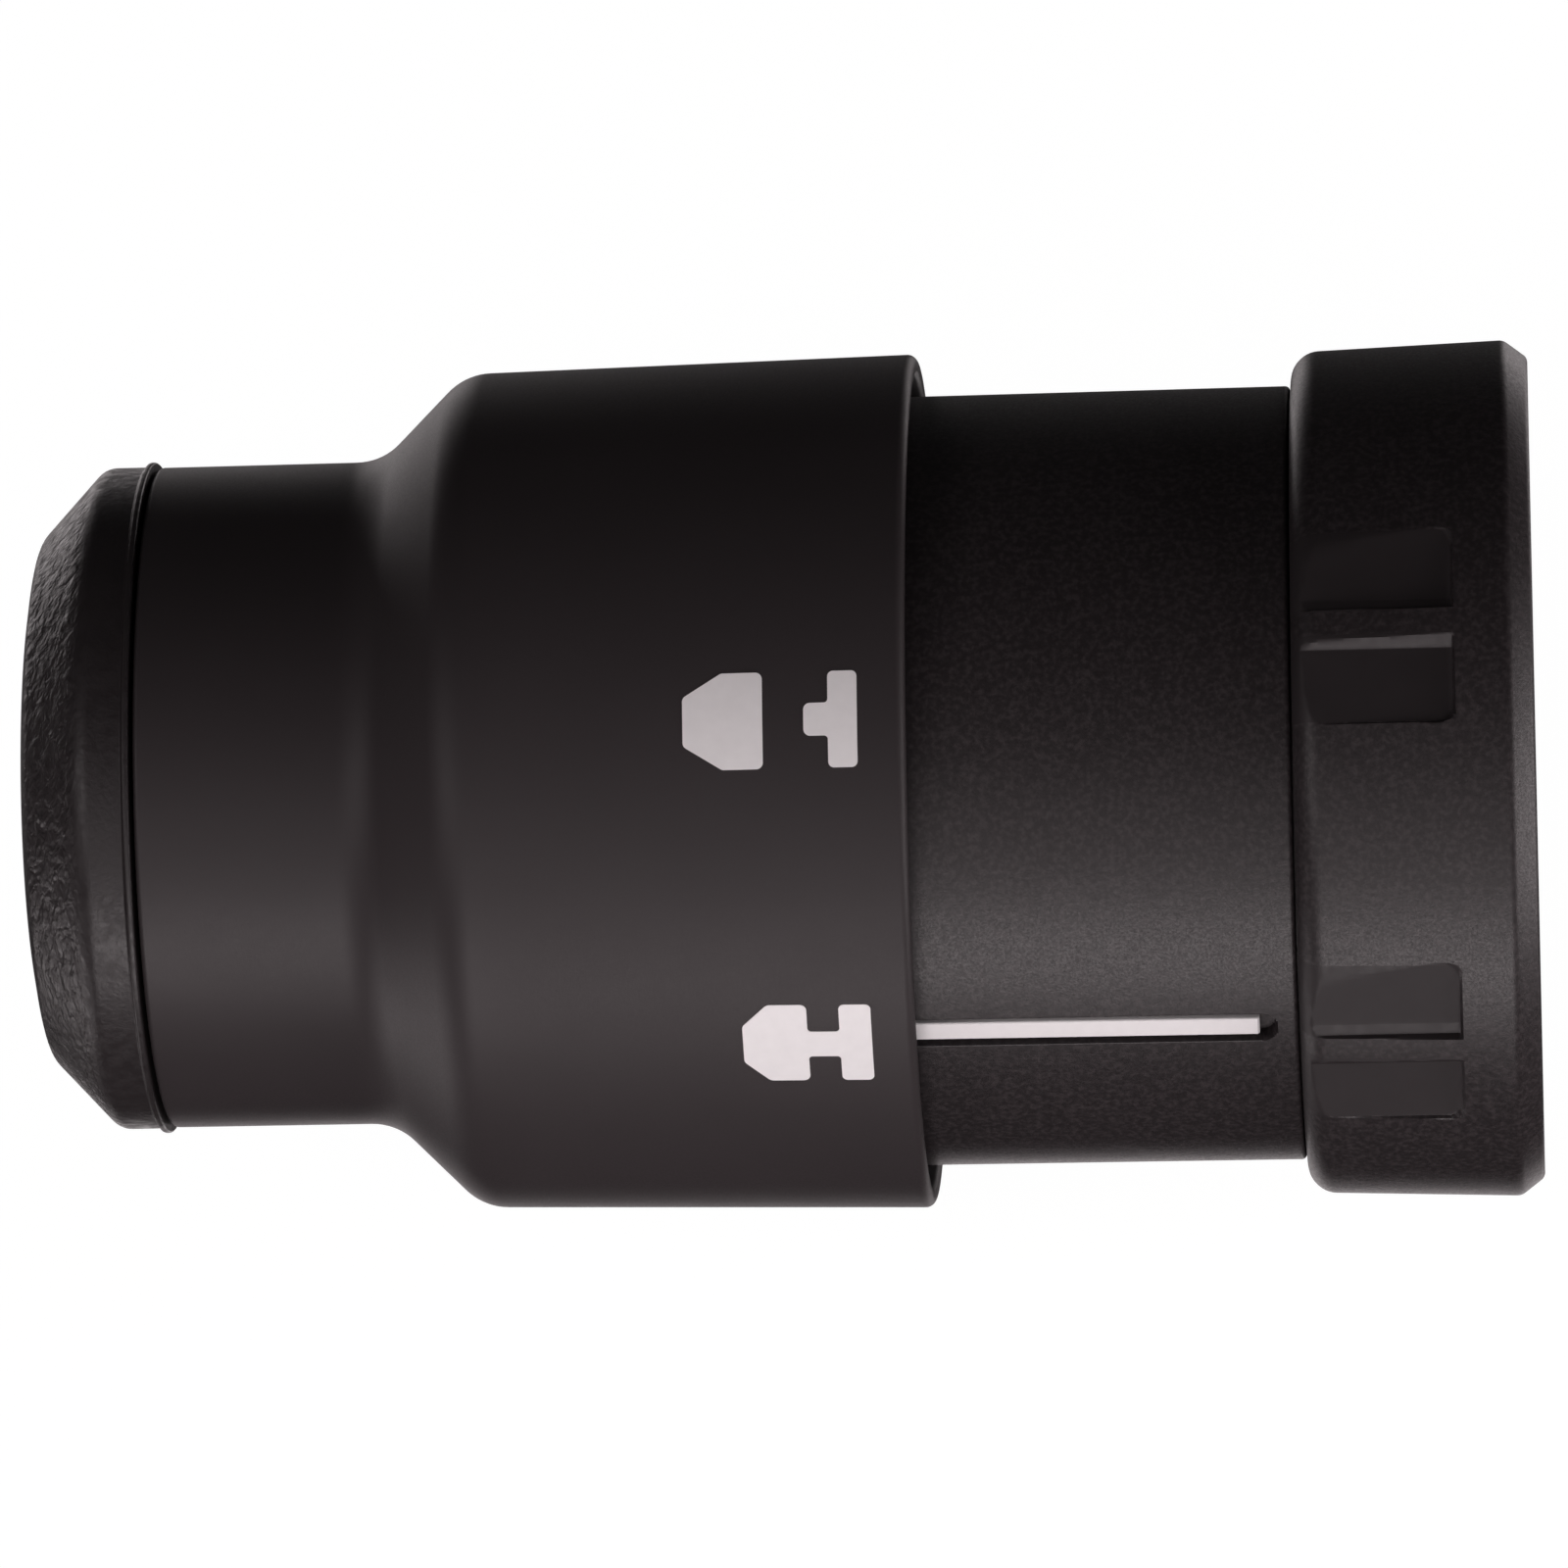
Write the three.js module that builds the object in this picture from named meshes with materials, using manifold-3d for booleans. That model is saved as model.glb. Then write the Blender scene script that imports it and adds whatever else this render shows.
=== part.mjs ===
// Quick-change chuck for the 10 mm slotted drill shanks of a rotary hammer, in millimetres.
//
// The chuck is turned about one axis, the spindle axis. Every piece is described by its distance s along that
// axis from the flat rear face towards the nose, by its radius r, and by its angle phi round the axis.
// In the part's frame the nose points along -X, phi 0 faces -Y and phi 90 faces up, along +Z.
import * as THREE from "three";
import { mergeVertices } from "three/addons/utils/BufferGeometryUtils.js";
import Module from "manifold-3d";

const wasm = await Module();
wasm.setup();

// ---------------------------------------------------------------- driving dimensions

const SEGMENTS = 36; // flats around a turned piece
const GAP = 0.3; // clearance between pieces that touch in the real chuck

const CAP = { rear: 72.5, front: 78.75, radius: 17.5, faceRadius: 12.7, chamfer: 3.15, mouth: 5.15 };
const COVER = { rear: 32.1, front: 72.3, rimRadius: 22.5, shoulderRadius: 22.02, noseRadius: 17.5 };
const SLEEVE = { rear: 4.8, shoulder: 12.85, front: 46, radius: 20.41, frontRadius: 20.2 };
const SPIGOT = { radius: 19.7, bore: 18.85 }; // the sleeve's rear end, inside the ring
const RING = { front: 12.4, radius: 22.5, frontRadius: 22.1, chamfer: 1.1, rimBore: 18.6 };
const GRIP = { ribs: [0, 60, 180, 240], rear: 4, ribTop: 1.65, ribFoot: 3.45, reach: 13.6 }; // degrees but rear
const GRIP_FLOOR = { foot: 21.75, lip: 22.15 }; // radii
const HOLDER = { rear: 0.5, front: 76.2, sleeve: 14.6, barrel: 9.5, flange: 18.4, bitBore: 5.05 };
const SOCKET = { radius: 11.5, depth: 26, splines: 6, splineWidth: 3.2, splineRadius: 12.9, splineEnd: 21 };
const BIT_BALL = { radius: 3.5, orbit: 6.9, s: 58.5, run: 2.5, clearance: 0.15 };
const LOCK_BALL = { count: 3, radius: 2.75, orbit: 12.95, s: 10.5, firstPhi: 30, lift: 1.4, clearance: 0.15 };
const CAM = { rear: 6, front: 15, radius: 18.55, bore: 15.95, pocket: 17.4 };
const CHANGE_TURN = 45; // degrees between the locked and the unlocked mark
const LINE = { rear: 14.5, front: 44, width: 1.2, height: 0.4 };
const GROOVE = { rear: 13.6, width: 1.7, depth: 0.65 };
const SPRING = { rear: 31.8, front: 53.2, rearRadius: 13.9, frontRadius: 11.6, wire: 0.8, turns: 6 };
const STOP_PIN = { phi: 210, s: 14, radius: 1, inner: 12.9, outer: 18.1 };
const CLICK = { rear: 18.6, front: 22.4, radius: 18.45, thickness: 0.6, phi: 180, half: 75, tip: 14.85 };

// ---------------------------------------------------------------- materials

function finish(color, roughness, metalness) {
  return new THREE.MeshStandardMaterial({ color, roughness, metalness });
}

const MATERIALS = {
  rubber: finish(0x1c1b1b, 0.85, 0),
  satinPlastic: finish(0x1a1819, 0.5, 0),
  grainedPlastic: finish(0x1b191a, 0.65, 0),
  whitePlastic: finish(0xe6e2e0, 0.45, 0),
  steel: finish(0x6f7073, 0.35, 1),
  ballSteel: finish(0xc4c6c9, 0.12, 1),
  springSteel: finish(0x8a8c90, 0.3, 1),
};

// ---------------------------------------------------------------- geometry helpers

const rad = THREE.MathUtils.degToRad;

// A point at radius r, distance s along the axis and angle phi in degrees.
const polar = (r, s, phi) => new THREE.Vector3(r * Math.sin(rad(phi)), s, r * Math.cos(rad(phi)));

// Points [r, s] along an arc about [r0, s0]. Angles are in degrees, 0 outwards and 90 towards the nose.
function arc(r0, s0, radius, from, to, steps = 3) {
  const points = [];
  for (let i = 0; i <= steps; i++) {
    const a = rad(from + ((to - from) * i) / steps);
    points.push([r0 + radius * Math.cos(a), s0 + radius * Math.sin(a)]);
  }
  return points;
}

// A closed profile of [r, s] points, anticlockwise with r to the right and s up, turned round the axis.
function turned(profile, segments = SEGMENTS) {
  const points = [...profile, profile[0]].map(([r, s]) => new THREE.Vector2(r, s));
  return new THREE.LatheGeometry(points, segments);
}

// A flat outline in the plane across the axis, with holes listed the same way round, carried from s0 to s1.
function across(outline, s0, s1, holes = []) {
  const flat = (points) => points.map((p) => new THREE.Vector2(p.x, p.z));
  const shape = new THREE.Shape(flat(outline));
  shape.holes = holes.map((hole) => new THREE.Path(flat([...hole].reverse())));
  const geometry = new THREE.ExtrudeGeometry(shape, { depth: s1 - s0, bevelEnabled: false });
  return geometry.rotateX(Math.PI / 2).translate(0, s1, 0);
}

// Points on a circle of radius r (a number or a function of phi) from one angle to another.
function circlePoints(r, from, to, steps) {
  const points = [];
  for (let i = 0; i <= steps; i++) {
    const phi = from + ((to - from) * i) / steps;
    points.push(polar(typeof r === "function" ? r(phi) : r, 0, phi));
  }
  return points;
}

// An open ring, as a snap ring is, with its gap centred on gapPhi.
function openRing(inner, outer, s0, s1, gapPhi, gap, steps = 26) {
  const from = gapPhi + gap / 2;
  const to = gapPhi + 360 - gap / 2;
  const outline = [...circlePoints(outer, from, to, steps), ...circlePoints(inner, to, from, steps)];
  return across(outline, s0, s1);
}

const flatRing = (inner, outer, s0, s1) => turned([[inner, s0], [outer, s0], [outer, s1], [inner, s1]]);

// A box standing on the axis at angle phi: width across, from one radius to another, from s0 to s1.
function radialBox(width, r0, r1, s0, s1, phi) {
  return new THREE.BoxGeometry(width, s1 - s0, r1 - r0)
    .translate(0, (s0 + s1) / 2, (r0 + r1) / 2)
    .rotateY(rad(phi));
}

// A round pin that points away from the axis at angle phi.
function radialPin(radius, r0, r1, s, phi, segments = 14) {
  return new THREE.CylinderGeometry(radius, radius, r1 - r0, segments)
    .rotateX(Math.PI / 2)
    .translate(0, s, (r0 + r1) / 2)
    .rotateY(rad(phi));
}

const ball = (radius, wide = 14, high = 10) => new THREE.SphereGeometry(radius, wide, high);

function ballAt(radius, r, s, phi, wide, high) {
  const centre = polar(r, s, phi);
  return ball(radius, wide, high).translate(centre.x, centre.y, centre.z);
}

// The geometry as a solid that can be cut and joined.
function solid(geometry) {
  const bare = geometry.clone();
  bare.deleteAttribute("normal");
  bare.deleteAttribute("uv");
  const merged = mergeVertices(bare, 1e-4);
  return new wasm.Manifold(
    new wasm.Mesh({
      numProp: 3,
      vertProperties: new Float32Array(merged.attributes.position.array),
      triVerts: new Uint32Array(merged.index.array),
    }),
  );
}

function geometryOf(shape) {
  const mesh = shape.getMesh();
  const geometry = new THREE.BufferGeometry();
  geometry.setAttribute("position", new THREE.BufferAttribute(new Float32Array(mesh.vertProperties), 3));
  geometry.setIndex(new THREE.BufferAttribute(new Uint32Array(mesh.triVerts), 1));
  geometry.computeVertexNormals();
  return geometry;
}

const cut = (base, cutters) => cutters.reduce((left, cutter) => left.subtract(solid(cutter)), base);
const join = (base, extras) => extras.reduce((left, extra) => left.add(solid(extra)), base);

// ---------------------------------------------------------------- the bit end

// Rubber cap that snaps into the holder's front groove and wipes the shank.
function dustCap() {
  const { rear, front, radius, faceRadius, chamfer, mouth } = CAP;
  const chamferStart = front - chamfer - 0.55;
  return turned([
    [radius + 0.25, rear],
    [radius + 0.25, rear + 0.3],
    [radius, rear + 0.5],
    [radius, chamferStart],
    [radius - chamfer, chamferStart + chamfer],
    [radius - chamfer - 0.75, front - 0.13],
    [faceRadius, front],
    [mouth + 1.3, front],
    [mouth, front - 0.8],
    [mouth, HOLDER.front + GAP],
    [HOLDER.barrel + GAP, HOLDER.front + GAP],
    [HOLDER.barrel + GAP, 75.75],
    [9.1, 75.25],
    [9.1, 74.65],
    [HOLDER.barrel + GAP, 74.2],
    [12.5, 74.1],
    [12.5, rear],
  ]);
}

// Moulded cover that is pulled back to free the bit. Its web rides on the barrel.
function chuckCover() {
  const { rear, front, rimRadius, shoulderRadius, noseRadius } = COVER;
  const shoulder = arc(18.62, 54.6, 3.4, 1, 45);
  const neck = arc(20.4, 61.55, 2.9, 225, 180);
  return turned([
    ...arc(rimRadius - 0.6, rear + 0.6, 0.6, -90, 0, 2),
    [shoulderRadius, 54.6],
    ...shoulder.slice(1),
    ...neck,
    [noseRadius - 0.05, front - 0.3],
    [noseRadius - 0.3, front],
    [HOLDER.barrel + GAP, front],
    [HOLDER.barrel + GAP, front - 2.4],
    [13.6, front - 2.4],
    [13.6, 59.3],
    [15.9, 59.3],
    [15.9, 55.6],
    [20.5, 54.4],
    [21.1, 52.5],
    [21.4, rear + 0.2],
    [21.5, rear],
  ]);
}

// Hardened ring inside the cover that keeps the two balls in the shank's pockets.
const lockingRing = () => turned([[10.65, 55.8], [15.5, 55.8], [15.5, 58.9], [11.5, 58.9], [10.65, 58.1]]);

// Dished washer that pushes the balls forward and seats the spring.
const guideWasher = () => turned([[9.85, 54.3], [13, 54], [15.5, 54], [15.5, 55.4], [9.85, 55.4]]);

// Conical compression spring that returns the cover.
function conicalSpring() {
  const { rear, front, rearRadius, frontRadius, wire, turns } = SPRING;
  class Coil extends THREE.Curve {
    getPoint(t, target = new THREE.Vector3()) {
      const r = rearRadius + (frontRadius - rearRadius) * t;
      return target.copy(polar(r, rear + (front - rear) * t, 360 * turns * t));
    }
  }
  const section = new THREE.Shape();
  section.absarc(0, 0, wire, 0, 2 * Math.PI);
  return new THREE.ExtrudeGeometry(section, {
    steps: 14 * turns,
    curveSegments: 3,
    bevelEnabled: false,
    extrudePath: new Coil(),
  });
}

// ---------------------------------------------------------------- the holder

// Steel body: the spindle socket at the rear, the flange, and the barrel that takes the bit.
function toolHolder() {
  const { rear, front, sleeve, barrel, flange, bitBore } = HOLDER;
  const body = solid(
    turned([
      [SOCKET.radius + 0.5, rear],
      [sleeve - 0.4, rear],
      [sleeve, rear + 0.4],
      [sleeve, 1.15],
      [13.7, 1.15],
      [13.7, 2.35],
      [sleeve, 2.35],
      [sleeve, 27.4],
      [flange, 27.4],
      [flange, 30],
      [barrel + 0.6, 30],
      [barrel, 30.6],
      [barrel, 72.5],
      [8.8, 72.5],
      [8.8, 73.75],
      [barrel, 73.75],
      [barrel, 74.15],
      [8.75, 74.3],
      [8.75, 75.6],
      [barrel, 75.7],
      [barrel, front - 0.2],
      [barrel - 0.2, front],
      [bitBore + 0.8, front],
      [bitBore, front - 0.8],
      [bitBore, SOCKET.depth],
      [SOCKET.radius - 0.8, SOCKET.depth],
      [SOCKET.radius, SOCKET.depth - 0.8],
      [SOCKET.radius, 24.6],
      [12.6, 24.6],
      [12.6, 23],
      [SOCKET.radius, 23],
      [SOCKET.radius, rear + 0.5],
    ]),
  );
  const cutters = [...splineGrooves(), ...ballTracks(), ...lockBallSeats(), ...clickNotches(), pinHole()];
  return geometryOf(cut(join(body, driveKeys()), cutters));
}

// Two keys inside the bit bore that turn the shank.
const driveKeys = () =>
  [0, 180].map((phi) => radialBox(2.9, 3.55, HOLDER.bitBore + 0.6, 34, 56, phi));

// Grooves along the socket for the splines of the machine's spindle.
function splineGrooves() {
  const { radius, splines, splineWidth, splineRadius, splineEnd } = SOCKET;
  return Array.from({ length: splines }, (_, i) =>
    radialBox(splineWidth, radius - 1.5, splineRadius, -1, splineEnd, (i * 360) / splines),
  );
}

// Two windows through the barrel, round-bottomed so that a ball can't drop into the bore.
function ballTracks() {
  const { radius, orbit, s, run, clearance } = BIT_BALL;
  const r = radius + clearance;
  const ends = [s - run, s + clearance / 2];
  return [90, 270].flatMap((phi) => [
    ...ends.flatMap((end) => [ballAt(r, orbit, end, phi), radialPin(r, orbit, 12, end, phi)]),
    new THREE.CylinderGeometry(r, r, ends[1] - ends[0], 14)
      .translate(0, (ends[0] + ends[1]) / 2, orbit)
      .rotateY(rad(phi)),
    radialBox(2 * r * Math.cos(Math.PI / 14), orbit, 12, ends[0], ends[1], phi),
  ]);
}

// Seats through the socket wall for the three balls that grip the spindle.
function lockBallSeats() {
  const { radius, orbit, s, clearance } = LOCK_BALL;
  const r = radius + clearance;
  return lockBallAngles().flatMap((phi) => [ballAt(r, orbit, s, phi), radialPin(r, orbit, 17, s, phi)]);
}

const lockBallAngles = () =>
  Array.from({ length: LOCK_BALL.count }, (_, i) => LOCK_BALL.firstPhi + (i * 360) / LOCK_BALL.count);

// Shallow grooves that the click spring's nose finds at each end of the turn.
const clickNotches = () =>
  [CLICK.phi, CLICK.phi + CHANGE_TURN].map((phi) => {
    const centre = polar(CLICK.tip + 0.7, 0, phi);
    const middle = (CLICK.rear + CLICK.front) / 2;
    const length = CLICK.front - CLICK.rear + 1;
    return new THREE.CylinderGeometry(1.4, 1.4, length, 12).translate(centre.x, middle, centre.z);
  });

const pinHole = () =>
  radialPin(STOP_PIN.radius + 0.2, STOP_PIN.inner - 0.3, 17, STOP_PIN.s, STOP_PIN.phi, 10);

// ---------------------------------------------------------------- the quick-change end

// Tube under the cover that carries the index line in a groove.
function indexSleeve() {
  const { rear, shoulder, front, radius, frontRadius } = SLEEVE;
  const { radius: spigot, bore } = SPIGOT;
  const tube = turned([
    [bore, rear],
    [spigot, rear],
    [spigot, shoulder - 0.35],
    [radius - 0.3, shoulder - 0.3],
    [radius, shoulder],
    [frontRadius, front - 0.6],
    [frontRadius - 0.4, front],
    [bore, front],
  ]);
  const floor = frontRadius - GROOVE.depth;
  const groove = radialBox(GROOVE.width, floor, radius + 2, GROOVE.rear, front + 1, 0);
  return geometryOf(cut(solid(tube), [groove]));
}

// White strip that lies in the groove, just under the sleeve's surface.
function indexLine() {
  const floor = SLEEVE.frontRadius - GROOVE.depth + 0.15;
  return radialBox(LINE.width, floor, floor + LINE.height, LINE.rear, LINE.front, 0);
}

// Ring that the hand turns. Its rear rim is the flat face that meets the machine.
function changeRing() {
  const { front, radius, frontRadius, chamfer, rimBore } = RING;
  const bore = SPIGOT.radius + GAP;
  const nose = 1.4;
  const body = turned([
    [rimBore, 0],
    [radius - chamfer, 0],
    [radius - 0.25, 0.6],
    [radius, chamfer],
    [frontRadius, front - nose],
    ...arc(frontRadius - nose, front - nose, nose, 30, 90, 2),
    [bore + 0.4, front],
    [bore, front - 0.4],
    [bore, 4.4],
    [HOLDER.sleeve + GAP, 4.4],
    [HOLDER.sleeve + GAP, 2.6],
    [rimBore, 2.6],
  ]);
  return geometryOf(cut(solid(body), gripRecesses()));
}

// Flat ramps cut on both sides of each rib, open towards the nose. Two pairs of ribs face each other.
function gripRecesses() {
  const { ribs, rear, ribTop, ribFoot, reach } = GRIP;
  const above = RING.radius + 1;
  const recesses = [];
  for (const rib of ribs) {
    for (const side of [-1, 1]) {
      const at = (r, angle) => polar(r, 0, rib + side * angle);
      const outline = [
        at(above, ribTop),
        at(RING.radius, ribTop),
        at(GRIP_FLOOR.foot, ribFoot),
        at(GRIP_FLOOR.lip, reach),
        at(above, reach),
      ];
      recesses.push(across(side > 0 ? outline : outline.reverse(), rear, RING.front + 1));
    }
  }
  return recesses;
}

// Steel cam that turns with the ring. Each ramp lets a ball rise out of the spindle's groove.
function camRing() {
  const { rear, front, radius, bore, pocket } = CAM;
  const spacing = 360 / LOCK_BALL.count;
  const hold = CHANGE_TURN + 7;
  const inner = (phi) => {
    const turn = THREE.MathUtils.euclideanModulo(LOCK_BALL.firstPhi - phi, spacing);
    if (turn > hold + 4) return bore;
    if (turn > hold) return pocket - ((pocket - bore) * (turn - hold)) / 4;
    return bore + (pocket - bore) * Math.min(1, turn / CHANGE_TURN);
  };
  const outline = circlePoints(radius, 0, 360, SEGMENTS).slice(0, -1);
  const hole = circlePoints(inner, 0, 360, 2 * SEGMENTS).slice(0, -1);
  const clear = 4.8; // half the pin's width plus play, in degrees
  const from = STOP_PIN.phi - CHANGE_TURN - clear;
  const to = STOP_PIN.phi + clear;
  const slot = [...circlePoints(radius + 1, from, to, 6), ...circlePoints(bore - 1.2, to, from, 6)];
  const body = solid(across(outline, rear, front, [hole]));
  return geometryOf(cut(body, [across(slot, STOP_PIN.s - 1.4, front + 1)]));
}

// Leaf with a nose that clicks into the holder at each end of the turn.
function clickSpring() {
  const { rear, front, radius, thickness, phi, half, tip } = CLICK;
  const inner = radius - thickness;
  const outline = [
    ...circlePoints(radius, phi - half, phi - 9, 5),
    polar(tip + thickness + 0.4, 0, phi - 1.5),
    polar(tip + thickness + 0.4, 0, phi + 1.5),
    ...circlePoints(radius, phi + 9, phi + half, 5),
    ...circlePoints(inner, phi + half, phi + 11, 5),
    polar(tip, 0, phi + 2),
    polar(tip, 0, phi - 2),
    ...circlePoints(inner, phi - 11, phi - half, 5),
  ];
  return across(outline, rear, front);
}

function stopPin() {
  const { radius, inner, outer, s, phi } = STOP_PIN;
  return radialPin(radius, inner, outer, s, phi, 10);
}

// ---------------------------------------------------------------- assembly

const chuck = new THREE.Group();

// The turned frame: its Y axis is the spindle axis towards the nose, and its Z axis is phi 0.
const spindle = new THREE.Group();
spindle.quaternion.setFromRotationMatrix(
  new THREE.Matrix4().makeBasis(
    new THREE.Vector3(0, 0, 1),
    new THREE.Vector3(-1, 0, 0),
    new THREE.Vector3(0, -1, 0),
  ),
);
chuck.add(spindle);

function place(name, geometry, material, position) {
  const mesh = new THREE.Mesh(geometry, material);
  mesh.name = name;
  if (position) mesh.position.copy(position);
  spindle.add(mesh);
  return mesh;
}

const { rubber, satinPlastic, grainedPlastic, whitePlastic, steel, ballSteel, springSteel } = MATERIALS;

// The bit end.
place("dust_cap", dustCap(), rubber);
place("ring_spring", openRing(9.1, 10.9, 72.7, 73.6, 0, 24), springSteel);
place("chuck_cover", chuckCover(), satinPlastic);
place("locking_ring", lockingRing(), steel);
place("guide_washer", guideWasher(), steel);
place("conical_spring", conicalSpring(), springSteel);
place("spring_seat_washer", flatRing(9.85, 16.4, 30.3, 31), steel);
place("bit_ball_upper", ball(BIT_BALL.radius), ballSteel, polar(BIT_BALL.orbit, BIT_BALL.s, 90));
place("bit_ball_lower", ball(BIT_BALL.radius), ballSteel, polar(BIT_BALL.orbit, BIT_BALL.s, 270));

// The holder, which everything else is built on.
place("tool_holder", toolHolder(), steel);

// The quick-change end.
place("index_sleeve", indexSleeve(), grainedPlastic);
place("index_line", indexLine(), whitePlastic);
place("change_ring", changeRing(), grainedPlastic);
place("cam_ring", camRing(), steel);
place("click_spring", clickSpring(), springSteel);
place("stop_pin", stopPin(), steel);
place("thrust_washer", flatRing(14.95, 18.4, 4.75, 5.65), steel);
place("snap_ring", openRing(13.95, 16.7, 1.3, 2.2, 300, 30), springSteel);
place("socket_o_ring", turned(arc(11.85, 23.8, 0.6, 0, 300, 5)), rubber);
lockBallAngles().forEach((phi, i) =>
  place(`lock_ball_${i + 1}`, ball(LOCK_BALL.radius), ballSteel, polar(LOCK_BALL.orbit, LOCK_BALL.s, phi)),
);

export default chuck;
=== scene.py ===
"""The looks of a rotary hammer's quick-change chuck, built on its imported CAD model.

Turned pieces are described along the spindle axis, in millimetres. s is the distance from the flat rear face
towards the nose and r is the radius. phi is the angle round the axis, in degrees: 0 faces -Y and 90 faces up.
"""

import math

import bmesh
import bpy
from mathutils import Matrix, Vector

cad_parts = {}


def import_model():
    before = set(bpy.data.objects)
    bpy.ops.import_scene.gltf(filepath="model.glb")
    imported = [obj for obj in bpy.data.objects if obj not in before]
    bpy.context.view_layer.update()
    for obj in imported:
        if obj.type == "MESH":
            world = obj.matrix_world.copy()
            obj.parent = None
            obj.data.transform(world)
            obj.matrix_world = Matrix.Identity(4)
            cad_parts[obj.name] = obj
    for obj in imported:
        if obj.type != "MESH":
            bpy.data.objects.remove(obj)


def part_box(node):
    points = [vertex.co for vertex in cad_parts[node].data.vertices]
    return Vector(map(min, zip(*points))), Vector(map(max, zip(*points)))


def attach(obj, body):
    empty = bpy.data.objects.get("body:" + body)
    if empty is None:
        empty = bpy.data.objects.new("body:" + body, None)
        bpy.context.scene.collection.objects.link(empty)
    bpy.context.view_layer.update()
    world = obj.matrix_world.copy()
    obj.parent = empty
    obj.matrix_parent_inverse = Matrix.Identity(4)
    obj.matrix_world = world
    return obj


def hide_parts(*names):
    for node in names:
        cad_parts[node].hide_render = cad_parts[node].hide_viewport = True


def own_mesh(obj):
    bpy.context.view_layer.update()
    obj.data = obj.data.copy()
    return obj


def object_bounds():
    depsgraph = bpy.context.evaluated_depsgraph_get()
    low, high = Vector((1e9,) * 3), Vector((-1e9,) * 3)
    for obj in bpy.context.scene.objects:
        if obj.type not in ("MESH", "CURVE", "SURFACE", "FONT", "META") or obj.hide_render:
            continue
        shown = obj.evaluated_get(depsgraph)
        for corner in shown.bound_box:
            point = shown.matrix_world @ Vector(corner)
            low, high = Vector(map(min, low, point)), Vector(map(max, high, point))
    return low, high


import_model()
cad_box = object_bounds()

MM = 0.001
FINE = 192  # steps round a turned piece
WHOLE_TURN = [360 * i / FINE for i in range(FINE)]


def extent(node):
    """(rear s, front s, largest radius) of a CAD node, in millimetres."""
    low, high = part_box(node)
    radius = max(abs(low.y), abs(high.y), abs(low.z), abs(high.z))
    return -high.x / MM, -low.x / MM, radius / MM


# ---------------------------------------------------------------- driving dimensions

CAP_REAR, CAP_FRONT, CAP_LIP = extent("dust_cap")
COVER_REAR, COVER_FRONT, COVER_RIM = extent("chuck_cover")
SLEEVE_REAR, SLEEVE_FRONT, SLEEVE_RADIUS = extent("index_sleeve")
RING_REAR, RING_FRONT, RING_RADIUS = extent("change_ring")
LINE_REAR, LINE_FRONT, _ = extent("index_line")
HOLDER_REAR, HOLDER_FRONT, HOLDER_FLANGE = extent("tool_holder")
SPRING_REAR, SPRING_FRONT, _ = extent("conical_spring")

CAP_RADIUS = CAP_LIP - 0.25
NOSE_RADIUS = 17.5
SHOULDER = 55.9  # s where the skirt ends and the shoulder begins
SHOULDER_RADIUS = 22.02
BARREL = 9.5  # radius of the holder where the cover slides
BIT_BORE = 5.05
BIT_BALL = 3.5
LOCK_BALL = 2.75
SOCKET = 11.5
SOCKET_FLOOR = 26
SLEEVE_BORE = 18.85
SPIGOT = 19.7  # radius of the sleeve's rear end, which sits in the ring
LOCKED_PHI = 3.3  # where the two pictograms are printed on the cover
UNLOCKED_PHI = 48.4


# ---------------------------------------------------------------- mesh helpers


def polar(r, s, phi):
    """A point in the part's frame, in metres."""
    a = math.radians(phi)
    return Vector((-s, -r * math.cos(a), r * math.sin(a))) * MM


def directions(phi):
    """The unit vectors outward and across, towards growing phi."""
    a = math.radians(phi)
    outward = Vector((0, -math.cos(a), math.sin(a)))
    across = Vector((0, math.sin(a), math.cos(a)))
    return outward, across


def rounded(*corners, step=10):
    """A closed outline through the corners (a, b) or (a, b, fillet), with each fillet drawn as an arc."""
    share = 0.49  # of a side, the most that one fillet takes
    outline = []
    for i, corner in enumerate(corners):
        here = Vector(corner[:2])
        fillet = corner[2] if len(corner) > 2 else 0
        before = Vector(corners[i - 1][:2]) - here
        after = Vector(corners[(i + 1) % len(corners)][:2]) - here
        opening = before.angle(after)
        if fillet == 0 or math.pi - opening < 0.02:
            outline.append(tuple(here))
            continue
        reach = min(fillet / math.tan(opening / 2), share * before.length, share * after.length)
        radius = reach * math.tan(opening / 2)
        inward = (before.normalized() + after.normalized()).normalized()
        middle = here + inward * radius / math.sin(opening / 2)
        start = here + before.normalized() * reach - middle
        turn = (here + after.normalized() * reach - middle).angle_signed(start)
        steps = max(2, math.ceil(math.degrees(abs(turn)) / step))
        for k in range(steps + 1):
            spoke = start.copy()
            spoke.rotate(Matrix.Rotation(turn * k / steps, 2))
            outline.append(tuple(middle + spoke))
    return outline


def piece(name, bm, sharp=35):
    """Turns a bmesh into an object, smooth but for creases where faces meet at more than sharp degrees."""
    bmesh.ops.recalc_face_normals(bm, faces=bm.faces)
    for face in bm.faces:
        face.smooth = True
    for edge in bm.edges:
        edge.smooth = edge.calc_face_angle(0) < math.radians(sharp)
    mesh = bpy.data.meshes.new(name)
    bm.to_mesh(mesh)
    bm.free()
    obj = bpy.data.objects.new(name, mesh)
    bpy.context.scene.collection.objects.link(obj)
    return obj


def skin(bm, loops, closed=False):
    """Faces between neighbouring loops. If closed the last joins the first, and if not the ends are capped."""
    following = loops[1:] + loops[:1] if closed else loops[1:]
    for near, far in zip(loops, following):
        for k in range(len(near)):
            m = (k + 1) % len(near)
            bm.faces.new((near[k], near[m], far[m], far[k]))
    if not closed:
        bm.faces.new(loops[0])
        bm.faces.new(loops[-1])


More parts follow.
